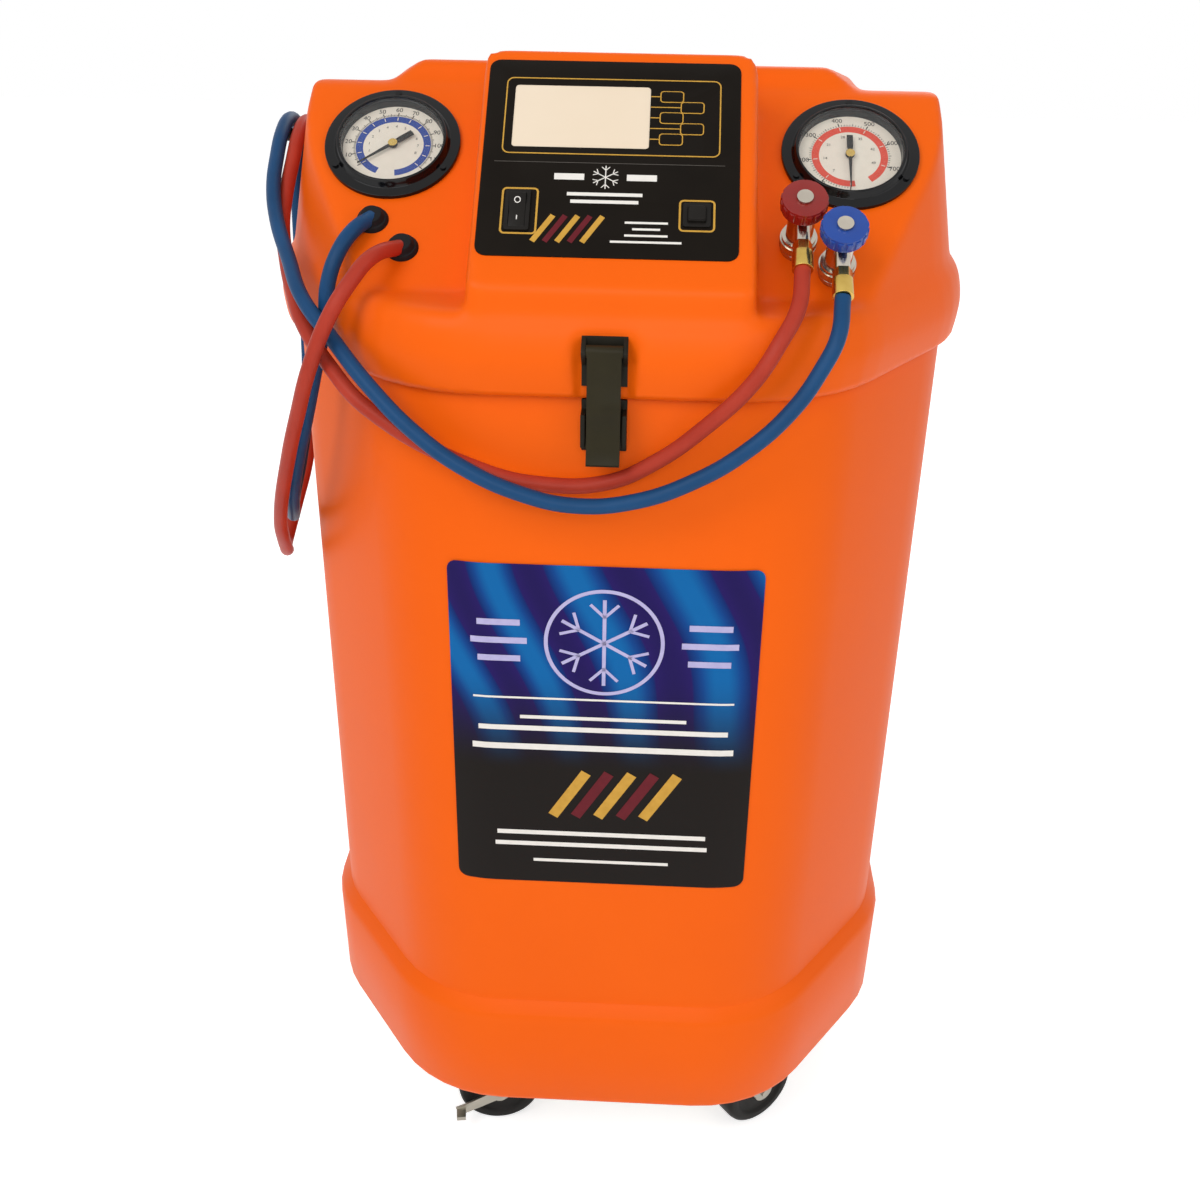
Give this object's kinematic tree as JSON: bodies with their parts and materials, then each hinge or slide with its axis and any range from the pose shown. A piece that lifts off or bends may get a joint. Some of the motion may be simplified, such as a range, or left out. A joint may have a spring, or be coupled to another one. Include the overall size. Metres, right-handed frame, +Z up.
{
  "type": "refrigerant recovery machine",
  "caption": "Moulded orange cabinet on swivel casters with a hinged lid, sloping control console, round pressure gauges and parked service hoses, for recovering vehicle refrigerant.",
  "frame": {"origin": "on the floor under the middle of the cabinet", "axes": "+Z up, -Y out of the front with the console, +X to the viewer's right"},
  "size_m": [0.6672, 0.6095, 1.1212],
  "materials": {
    "moulded_orange": "rotomoulded polyethylene, satin, slightly mottled",
    "zinc_steel": "bright zinc plate",
    "black_plastic": "fine matt",
    "black_enamel": "gloss black enamel",
    "overlay_black": "satin printed overlay",
    "screen": "unlit warm white display",
    "circuit_board": "solder mask",
    "dial_card": "printed dial card",
    "lens_glass": "clear",
    "needle_black": "matt black",
    "black_rubber": "matt",
    "nickel": "nickel plate",
    "brass": "turned brass",
    "blue_hose": "satin hose jacket",
    "red_hose": "satin hose jacket",
    "blue_knob": "gloss",
    "red_knob": "gloss",
    "switch_black": "satin",
    "key_black": "matt key top",
    "fan_plastic": "matt",
    "wheel_rubber": "dark grey tread",
    "aluminium": "mill finish",
    "cylinder_grey": "grey enamel",
    "pump_blue": "blue enamel",
    "drier_green": "green enamel"
  },
  "bodies": {
    "cabinet": {"cabinet_body": "moulded_orange", "base_plate": "zinc_steel", "hinge_leaf_body": "zinc_steel", "latch_keeper": "black_plastic", "rear_grille": "black_plastic", "power_inlet": "black_plastic", "caster_plates": "zinc_steel", "scale_platform": "aluminium", "recovery_cylinder": "cylinder_grey", "cylinder_valves": "brass", "compressor": "black_enamel", "vacuum_pump": "pump_blue", "condenser_coil": "aluminium", "fan_motor": "black_enamel", "filter_drier": "drier_green", "valve_manifold": "aluminium"},
    "lid": {"lid_shell": "moulded_orange", "hinge_leaf_lid": "zinc_steel", "latch_bracket": "black_plastic", "console_plate": "overlay_black", "display_screen": "screen", "control_board": "circuit_board", "switch_bezels": "black_plastic", "low_gauge_case": "black_enamel", "low_gauge_dial": "dial_card", "high_gauge_case": "black_enamel", "high_gauge_dial": "dial_card", "gauge_lenses": "lens_glass", "gauge_screws": "zinc_steel", "hose_grommets": "black_rubber", "hose_hook": "black_plastic", "coupler_posts": "nickel", "blue_coupler": "nickel", "red_coupler": "nickel", "hose_ferrules": "brass", "blue_hose": "blue_hose", "red_hose": "red_hose"},
    "latch": {"latch_strap": "black_plastic"},
    "low_needle": {"low_gauge_needle": "needle_black"},
    "high_needle": {"high_gauge_needle": "needle_black"},
    "rocker": {"power_rocker": "switch_black"},
    "button": {"push_button": "switch_black"},
    "key_1": {"soft_key_1": "key_black"},
    "key_2": {"soft_key_2": "key_black"},
    "key_3": {"soft_key_3": "key_black"},
    "key_4": {"soft_key_4": "key_black"},
    "key_5": {"soft_key_5": "key_black"},
    "blue_wheel": {"blue_handwheel": "blue_knob"},
    "red_wheel": {"red_handwheel": "red_knob"},
    "fan": {"condenser_fan": "fan_plastic"},
    "fork_fl": {"caster_fork_fl": "zinc_steel"},
    "wheel_fl": {"caster_wheel_fl": "wheel_rubber"},
    "pedal_fl": {"brake_pedal_fl": "zinc_steel"},
    "fork_fr": {"caster_fork_fr": "zinc_steel"},
    "wheel_fr": {"caster_wheel_fr": "wheel_rubber"},
    "pedal_fr": {"brake_pedal_fr": "zinc_steel"},
    "fork_rl": {"caster_fork_rl": "zinc_steel"},
    "wheel_rl": {"caster_wheel_rl": "wheel_rubber"},
    "fork_rr": {"caster_fork_rr": "zinc_steel"},
    "wheel_rr": {"caster_wheel_rr": "wheel_rubber"}
  },
  "joints": [
    {"name": "lid_hinge", "type": "hinge", "parent": "cabinet", "child": "lid", "pos_m": [0, 0.291, 0.875], "axis": [-1, 0, 0], "range_deg": [0, 75]},
    {"name": "latch_swing", "type": "hinge", "parent": "lid", "child": "latch", "pos_m": [-0.003, -0.291, 0.921], "axis": [-1, 0, 0], "range_deg": [0, 110]},
    {"name": "low_needle_turn", "type": "hinge", "parent": "lid", "child": "low_needle", "pos_m": [-0.196, -0.10058, 1.03843], "axis": [0, 0.6225, -0.7826], "range_deg": [0, 260]},
    {"name": "high_needle_turn", "type": "hinge", "parent": "lid", "child": "high_needle", "pos_m": [0.196, -0.10058, 1.03843], "axis": [0, 0.6225, -0.7826], "range_deg": [0, 315]},
    {"name": "rocker_tilt", "type": "hinge", "parent": "lid", "child": "rocker", "pos_m": [-0.0765, -0.22558, 1.01265], "axis": [-1, 0, 0], "range_deg": [0, 16]},
    {"name": "button_press", "type": "slide", "parent": "lid", "child": "button", "axis": [0, 0.6652, -0.7466], "range_m": [0, 0.002], "stiffness_N_per_m": 300, "springref_m": -0.001},
    {"name": "key_1_press", "type": "slide", "parent": "lid", "child": "key_1", "axis": [0, 0.6652, -0.7466], "range_m": [0, 0.0008], "stiffness_N_per_m": 500, "springref_m": -0.0006},
    {"name": "key_2_press", "type": "slide", "parent": "lid", "child": "key_2", "axis": [0, 0.6652, -0.7466], "range_m": [0, 0.0008], "stiffness_N_per_m": 500, "springref_m": -0.0006},
    {"name": "key_3_press", "type": "slide", "parent": "lid", "child": "key_3", "axis": [0, 0.6652, -0.7466], "range_m": [0, 0.0008], "stiffness_N_per_m": 500, "springref_m": -0.0006},
    {"name": "key_4_press", "type": "slide", "parent": "lid", "child": "key_4", "axis": [0, 0.6652, -0.7466], "range_m": [0, 0.0008], "stiffness_N_per_m": 500, "springref_m": -0.0006},
    {"name": "key_5_press", "type": "slide", "parent": "lid", "child": "key_5", "axis": [0, 0.6652, -0.7466], "range_m": [0, 0.0008], "stiffness_N_per_m": 500, "springref_m": -0.0006},
    {"name": "blue_wheel_turn", "type": "hinge", "parent": "lid", "child": "blue_wheel", "pos_m": [0.181, -0.23435, 1.00742], "axis": [0, -0.6225, 0.7826], "range_deg": [0, 720]},
    {"name": "red_wheel_turn", "type": "hinge", "parent": "lid", "child": "red_wheel", "pos_m": [0.15, -0.21479, 1.02298], "axis": [0, -0.6225, 0.7826], "range_deg": [0, 720]},
    {"name": "fan_spin", "type": "hinge", "parent": "cabinet", "child": "fan", "pos_m": [0, 0.246, 0.36], "axis": [0, 1, 0], "continuous": true},
    {"name": "swivel_fl", "type": "hinge", "parent": "cabinet", "child": "fork_fl", "pos_m": [-0.145, -0.2, 0.1], "axis": [0, 0, 1], "continuous": true},
    {"name": "roll_fl", "type": "hinge", "parent": "fork_fl", "child": "wheel_fl", "pos_m": [-0.11232, -0.19541, 0.045], "axis": [-0.1392, 0.9903, 0], "continuous": true},
    {"name": "pedal_fl_press", "type": "hinge", "parent": "fork_fl", "child": "pedal_fl", "pos_m": [-0.11232, -0.19541, 0.045], "axis": [0.1392, -0.9903, 0], "range_deg": [0, 14]},
    {"name": "swivel_fr", "type": "hinge", "parent": "cabinet", "child": "fork_fr", "pos_m": [0.145, -0.2, 0.1], "axis": [0, 0, 1], "continuous": true},
    {"name": "roll_fr", "type": "hinge", "parent": "fork_fr", "child": "wheel_fr", "pos_m": [0.171, -0.17968, 0.045], "axis": [-0.6157, 0.788, 0], "continuous": true},
    {"name": "pedal_fr_press", "type": "hinge", "parent": "fork_fr", "child": "pedal_fr", "pos_m": [0.171, -0.17968, 0.045], "axis": [0.6157, -0.788, 0], "range_deg": [0, 14]},
    {"name": "swivel_rl", "type": "hinge", "parent": "cabinet", "child": "fork_rl", "pos_m": [-0.205, 0.185, 0.1], "axis": [0, 0, 1], "continuous": true},
    {"name": "roll_rl", "type": "hinge", "parent": "fork_rl", "child": "wheel_rl", "pos_m": [-0.19371, 0.21601, 0.045], "axis": [-0.9397, 0.342, 0], "continuous": true},
    {"name": "swivel_rr", "type": "hinge", "parent": "cabinet", "child": "fork_rr", "pos_m": [0.205, 0.185, 0.1], "axis": [0, 0, 1], "continuous": true},
    {"name": "roll_rr", "type": "hinge", "parent": "fork_rr", "child": "wheel_rr", "pos_m": [0.21629, 0.21601, 0.045], "axis": [-0.9397, 0.342, 0], "continuous": true}
  ]
}
